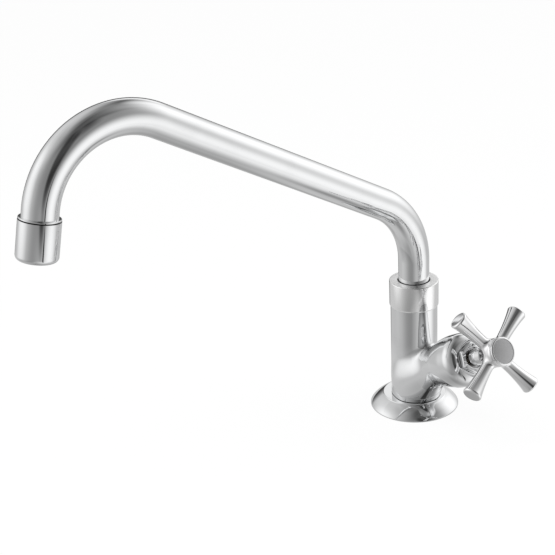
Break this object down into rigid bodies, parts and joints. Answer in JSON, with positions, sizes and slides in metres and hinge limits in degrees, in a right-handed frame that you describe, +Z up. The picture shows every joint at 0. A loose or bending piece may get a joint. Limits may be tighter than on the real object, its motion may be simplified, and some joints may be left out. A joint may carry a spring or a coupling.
{
  "type": "kitchen tap",
  "caption": "Single pillar kitchen tap with a swan-neck swivel spout, an aerator and one cross handle on a rising side valve.",
  "frame": {"origin": "centre of the base flange's underside, on the barrel's axis, at the level of the worktop", "axes": "+Z up along the barrel, -X towards the spout's outlet at rest, -Y towards the side branch and its handle, which rises at 28.5 degrees"},
  "size_m": [0.2832, 0.1177, 0.3014],
  "materials": {
    "body_chrome": "polished chrome plate on cast brass",
    "flange_chrome": "polished chrome plate on brass",
    "tube_chrome": "polished chrome plate on brass tube",
    "nut_chrome": "fine turned chrome with a soft sheen",
    "outlet_chrome": "polished chrome plate",
    "aerator_chrome": "polished chrome plate",
    "bonnet_chrome": "chrome plate with machined flats",
    "handle_chrome": "polished chrome plate on zinc casting",
    "cap_chrome": "polished chrome plate",
    "index_satin": "bare satin grey plate",
    "shank_brass": "machined brass with a rolled thread",
    "nut_brass": "machined brass",
    "ferrule_brass": "turned brass",
    "valve_brass": "turned brass",
    "washer_steel": "zinc plated steel",
    "screen_steel": "stainless mesh",
    "screw_steel": "stainless steel",
    "clip_steel": "spring steel",
    "gasket_rubber": "matt black rubber",
    "seal_rubber": "matt black nitrile rubber",
    "ring_plastic": "black plastic",
    "slip_plastic": "white low-friction plastic",
    "insert_plastic": "pale grey moulded plastic"
  },
  "bodies": {
    "fixed": {"tap_body": "body_chrome", "base_flange": "flange_chrome", "flange_gasket": "gasket_rubber", "inlet_shank": "shank_brass", "clamping_gasket": "gasket_rubber", "clamping_washer": "washer_steel", "back_nut": "nut_brass", "slip_ring": "slip_plastic", "spout_nut": "nut_chrome", "seal_ring": "ring_plastic", "valve_seat": "valve_brass", "bonnet": "bonnet_chrome", "bonnet_o_ring": "seal_rubber", "thrust_washer": "slip_plastic"},
    "spout": {"spout_tube": "tube_chrome", "spout_ferrule": "ferrule_brass", "spout_o_ring_lower": "seal_rubber", "spout_o_ring_upper": "seal_rubber", "outlet_ferrule": "outlet_chrome", "aerator_housing": "aerator_chrome", "aerator_washer": "seal_rubber", "aerator_screen": "screen_steel", "aerator_insert": "insert_plastic"},
    "handle": {"spindle": "valve_brass", "spindle_o_ring_lower": "seal_rubber", "spindle_o_ring_upper": "seal_rubber", "spindle_circlip": "clip_steel", "cross_handle": "handle_chrome", "handle_screw": "screw_steel", "handle_cap": "cap_chrome", "index_plate": "index_satin"},
    "valve": {"valve_piston": "valve_brass", "valve_washer": "seal_rubber", "washer_screw": "screw_steel"}
  },
  "joints": [
    {"name": "spout_swivel", "type": "hinge", "parent": "fixed", "child": "spout", "pos_m": [0, 0, 0], "axis": [0, 0, 1], "continuous": true},
    {"name": "handle_turn", "type": "hinge", "parent": "fixed", "child": "handle", "pos_m": [0, 0, 0.0225], "axis": [0, -0.8788, 0.4772], "range_deg": [0, 900]},
    {"name": "valve_lift", "type": "slide", "parent": "fixed", "child": "valve", "axis": [0, -0.8788, 0.4772], "range_m": [0, 0.00501]}
  ],
  "couplings": [
    {"joint": "valve_lift", "follows": "handle_turn", "m_per_rad": 0.00031831}
  ]
}
